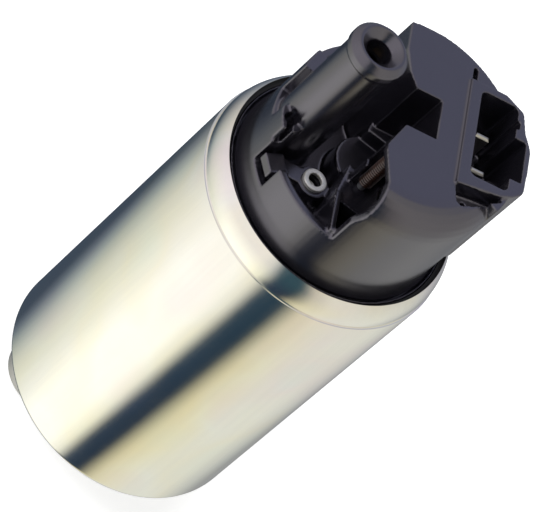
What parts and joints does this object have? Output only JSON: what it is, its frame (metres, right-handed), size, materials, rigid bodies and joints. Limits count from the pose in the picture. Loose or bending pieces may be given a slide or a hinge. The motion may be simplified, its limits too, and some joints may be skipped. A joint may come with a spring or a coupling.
{
  "type": "fuel pump",
  "caption": "Round in-tank electric turbine fuel pump: crimped steel shell, moulded outlet cover with hose nipple and plug socket, and an off-centre inlet stub.",
  "frame": {"origin": "on the pump's axis at the middle of the straight shell wall, where the clamp band holds it", "axes": "+Z along the shell's axis to the outlet, +X to the side with the plug socket"},
  "size_m": [0.038, 0.038, 0.0943],
  "materials": {
    "zinc_steel": "satin",
    "die_cast": "cast",
    "bearing_steel": "ground",
    "impeller_resin": "moulded",
    "bronze": "sintered",
    "ferrite": "pressed",
    "spring_steel": "drawn",
    "lamination_steel": "stamped",
    "insulator_board": "board",
    "copper_wire": "enamelled",
    "dark_resin": "moulded",
    "carbon": "pressed",
    "cover_resin": "satin",
    "rubber": "matt",
    "brass": "turned",
    "nickel": "plated",
    "copper_braid": "braided",
    "tinned_brass": "tinned"
  },
  "bodies": {
    "pump": {"shell": "zinc_steel", "inlet_cover": "die_cast", "pump_casing": "die_cast", "thrust_button": "bearing_steel", "lower_bearing": "bronze", "upper_bearing": "bronze", "magnet_a": "ferrite", "magnet_b": "ferrite", "magnet_clips": "spring_steel", "brush_plate": "dark_resin", "outlet_cover": "cover_resin", "cover_seal": "rubber", "check_valve_seat": "brass", "check_valve_spring": "spring_steel", "check_valve_guide": "dark_resin", "relief_spring": "spring_steel", "relief_sleeve": "nickel", "brush_spring_a": "spring_steel", "brush_spring_b": "spring_steel", "brush_lead_a": "copper_braid", "brush_lead_b": "copper_braid", "choke_core": "ferrite", "choke_coil": "copper_wire", "terminal_a": "tinned_brass", "terminal_b": "tinned_brass"},
    "rotor": {"shaft": "bearing_steel", "armature_core": "lamination_steel", "armature_windings": "copper_wire", "commutator_base": "dark_resin", "commutator_segments": "carbon", "impeller": "impeller_resin", "thrust_washer": "insulator_board"},
    "check_valve_poppet": {"check_valve_poppet": "brass"},
    "relief_poppet": {"relief_poppet": "brass"},
    "brush_a": {"brush_a": "carbon"},
    "brush_b": {"brush_b": "carbon"}
  },
  "joints": [
    {"name": "rotor_spin", "type": "hinge", "parent": "pump", "child": "rotor", "pos_m": [0, 0, 0], "axis": [0, 0, 1], "continuous": true},
    {"name": "check_valve_slide", "type": "slide", "parent": "pump", "child": "check_valve_poppet", "axis": [0, 0, 1], "range_m": [0, 0.002], "stiffness_N_per_m": 40, "springref_m": -0.002, "deforming": ["check_valve_spring"]},
    {"name": "relief_slide", "type": "slide", "parent": "pump", "child": "relief_poppet", "axis": [0, 0, 1], "range_m": [0, 0.0008], "stiffness_N_per_m": 20, "springref_m": -0.002, "deforming": ["relief_spring"]},
    {"name": "brush_a_slide", "type": "slide", "parent": "pump", "child": "brush_a", "axis": [0, 0, 1], "range_m": [0, 0.0015], "stiffness_N_per_m": 40, "springref_m": -0.004, "deforming": ["brush_spring_a", "brush_lead_a"]},
    {"name": "brush_b_slide", "type": "slide", "parent": "pump", "child": "brush_b", "axis": [0, 0, 1], "range_m": [0, 0.0015], "stiffness_N_per_m": 40, "springref_m": -0.004, "deforming": ["brush_spring_b", "brush_lead_b"]}
  ]
}
